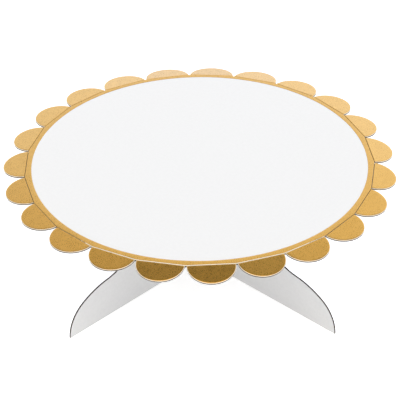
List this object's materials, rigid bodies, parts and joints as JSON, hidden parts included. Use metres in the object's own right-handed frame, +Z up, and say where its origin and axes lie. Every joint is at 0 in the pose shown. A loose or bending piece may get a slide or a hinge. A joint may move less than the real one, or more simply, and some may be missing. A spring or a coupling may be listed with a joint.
{
  "type": "cake stand",
  "caption": "Round scalloped cake stand of white board with a gold foil rim, on two leg panels that slot into a cross.",
  "frame": {"origin": "on the table, at the middle of the lower leg panel's foot edge, where the two panels cross", "axes": "+Z up; +X along the lower leg panel and +Y along the upper one; the pictured view looks along +X+Y and down"},
  "size_m": [0.3026, 0.3029, 0.0906],
  "materials": {
    "white_board": "matte",
    "grey_board": "matte",
    "gold_foil": "satin",
    "foiled_board": "satin"
  },
  "bodies": {
    "lower_leg": {"lower_leg_panel": "white_board"},
    "upper_leg": {"upper_leg_panel": "white_board"},
    "plate": {"socket_board": "grey_board", "top_board": "white_board", "gold_border": "gold_foil"},
    "flap_01": {"scallop_flap_01": "foiled_board"},
    "flap_02": {"scallop_flap_02": "foiled_board"},
    "flap_03": {"scallop_flap_03": "foiled_board"},
    "flap_04": {"scallop_flap_04": "foiled_board"},
    "flap_05": {"scallop_flap_05": "foiled_board"},
    "flap_06": {"scallop_flap_06": "foiled_board"},
    "flap_07": {"scallop_flap_07": "foiled_board"},
    "flap_08": {"scallop_flap_08": "foiled_board"},
    "flap_09": {"scallop_flap_09": "foiled_board"},
    "flap_10": {"scallop_flap_10": "foiled_board"},
    "flap_11": {"scallop_flap_11": "foiled_board"},
    "flap_12": {"scallop_flap_12": "foiled_board"},
    "flap_13": {"scallop_flap_13": "foiled_board"},
    "flap_14": {"scallop_flap_14": "foiled_board"},
    "flap_15": {"scallop_flap_15": "foiled_board"},
    "flap_16": {"scallop_flap_16": "foiled_board"},
    "flap_17": {"scallop_flap_17": "foiled_board"},
    "flap_18": {"scallop_flap_18": "foiled_board"},
    "flap_19": {"scallop_flap_19": "foiled_board"},
    "flap_20": {"scallop_flap_20": "foiled_board"},
    "flap_21": {"scallop_flap_21": "foiled_board"},
    "flap_22": {"scallop_flap_22": "foiled_board"},
    "flap_23": {"scallop_flap_23": "foiled_board"}
  },
  "joints": [
    {"name": "upper_leg_lift", "type": "slide", "parent": "lower_leg", "child": "upper_leg", "axis": [0, 0, 1], "range_m": [0, 0.095]},
    {"name": "plate_lift", "type": "slide", "parent": "upper_leg", "child": "plate", "axis": [0, 0, 1], "range_m": [0, 0.03]},
    {"name": "crease_01", "type": "hinge", "parent": "plate", "child": "flap_01", "pos_m": [0.13223, 0.02006, 0.0891], "axis": [-0.15, 0.9887, 0], "range_deg": [-6.05, 83.95]},
    {"name": "crease_02", "type": "hinge", "parent": "plate", "child": "flap_02", "pos_m": [0.12191, 0.05499, 0.0891], "axis": [-0.4112, 0.9116, 0], "range_deg": [-8.41, 81.58]},
    {"name": "crease_03", "type": "hinge", "parent": "plate", "child": "flap_03", "pos_m": [0.10256, 0.08584, 0.0891], "axis": [-0.6419, 0.7668, 0], "range_deg": [-10.23, 79.77]},
    {"name": "crease_04", "type": "hinge", "parent": "plate", "child": "flap_04", "pos_m": [0.07559, 0.11033, 0.0891], "axis": [-0.8249, 0.5652, 0], "range_deg": [-9.49, 80.51]},
    {"name": "crease_05", "type": "hinge", "parent": "plate", "child": "flap_05", "pos_m": [0.04302, 0.12663, 0.0891], "axis": [-0.9468, 0.3217, 0], "range_deg": [-6.71, 83.3]},
    {"name": "crease_06", "type": "hinge", "parent": "plate", "child": "flap_06", "pos_m": [0.00726, 0.13354, 0.0891], "axis": [-0.9985, 0.0543, 0], "range_deg": [-4.37, 85.63]},
    {"name": "crease_07", "type": "hinge", "parent": "plate", "child": "flap_07", "pos_m": [-0.02904, 0.13055, 0.0891], "axis": [-0.9761, -0.2171, 0], "range_deg": [-4.37, 85.64]},
    {"name": "crease_08", "type": "hinge", "parent": "plate", "child": "flap_08", "pos_m": [-0.06318, 0.11788, 0.0891], "axis": [-0.8814, -0.4724, 0], "range_deg": [-6.07, 83.93]},
    {"name": "crease_09", "type": "hinge", "parent": "plate", "child": "flap_09", "pos_m": [-0.09264, 0.09646, 0.0891], "axis": [-0.7212, -0.6927, 0], "range_deg": [-7.19, 82.81]},
    {"name": "crease_10", "type": "hinge", "parent": "plate", "child": "flap_10", "pos_m": [-0.11523, 0.06789, 0.0891], "axis": [-0.5076, -0.8616, 0], "range_deg": [-6.33, 83.67]},
    {"name": "crease_11", "type": "hinge", "parent": "plate", "child": "flap_11", "pos_m": [-0.12927, 0.03428, 0.0891], "axis": [-0.2563, -0.9666, 0], "range_deg": [-4.56, 85.44]},
    {"name": "crease_12", "type": "hinge", "parent": "plate", "child": "flap_12", "pos_m": [-0.13373, -0.00187, 0.0891], "axis": [0.014, -0.9999, 0], "range_deg": [-4.21, 85.79]},
    {"name": "crease_13", "type": "hinge", "parent": "plate", "child": "flap_13", "pos_m": [-0.12827, -0.03788, 0.0891], "axis": [0.2832, -0.9591, 0], "range_deg": [-6.27, 83.73]},
    {"name": "crease_14", "type": "hinge", "parent": "plate", "child": "flap_14", "pos_m": [-0.11329, -0.07108, 0.0891], "axis": [0.5315, -0.8471, 0], "range_deg": [-9.16, 80.84]},
    {"name": "crease_15", "type": "hinge", "parent": "plate", "child": "flap_15", "pos_m": [-0.08991, -0.09901, 0.0891], "axis": [0.7403, -0.6723, 0], "range_deg": [-10.3, 79.7]},
    {"name": "crease_16", "type": "hinge", "parent": "plate", "child": "flap_16", "pos_m": [-0.05987, -0.1196, 0.0891], "axis": [0.8942, -0.4476, 0], "range_deg": [-8.79, 81.22]},
    {"name": "crease_17", "type": "hinge", "parent": "plate", "child": "flap_17", "pos_m": [-0.02538, -0.13131, 0.0891], "axis": [0.9818, -0.1898, 0], "range_deg": [-6.33, 83.67]},
    {"name": "crease_18", "type": "hinge", "parent": "plate", "child": "flap_18", "pos_m": [0.01099, -0.13329, 0.0891], "axis": [0.9966, 0.0822, 0], "range_deg": [-5.42, 84.58]},
    {"name": "crease_19", "type": "hinge", "parent": "plate", "child": "flap_19", "pos_m": [0.04654, -0.12538, 0.0891], "axis": [0.9375, 0.348, 0], "range_deg": [-6.77, 83.23]},
    {"name": "crease_20", "type": "hinge", "parent": "plate", "child": "flap_20", "pos_m": [0.07865, -0.10818, 0.0891], "axis": [0.8088, 0.588, 0], "range_deg": [-8.62, 81.38]},
    {"name": "crease_21", "type": "hinge", "parent": "plate", "child": "flap_21", "pos_m": [0.10491, -0.08295, 0.0891], "axis": [0.6202, 0.7844, 0], "range_deg": [-8.79, 81.21]},
    {"name": "crease_22", "type": "hinge", "parent": "plate", "child": "flap_22", "pos_m": [0.1234, -0.05156, 0.0891], "axis": [0.3856, 0.9227, 0], "range_deg": [-7.08, 82.92]},
    {"name": "crease_23", "type": "hinge", "parent": "plate", "child": "flap_23", "pos_m": [0.13274, -0.01636, 0.0891], "axis": [0.1223, 0.9925, 0], "range_deg": [-5.5, 84.5]}
  ]
}
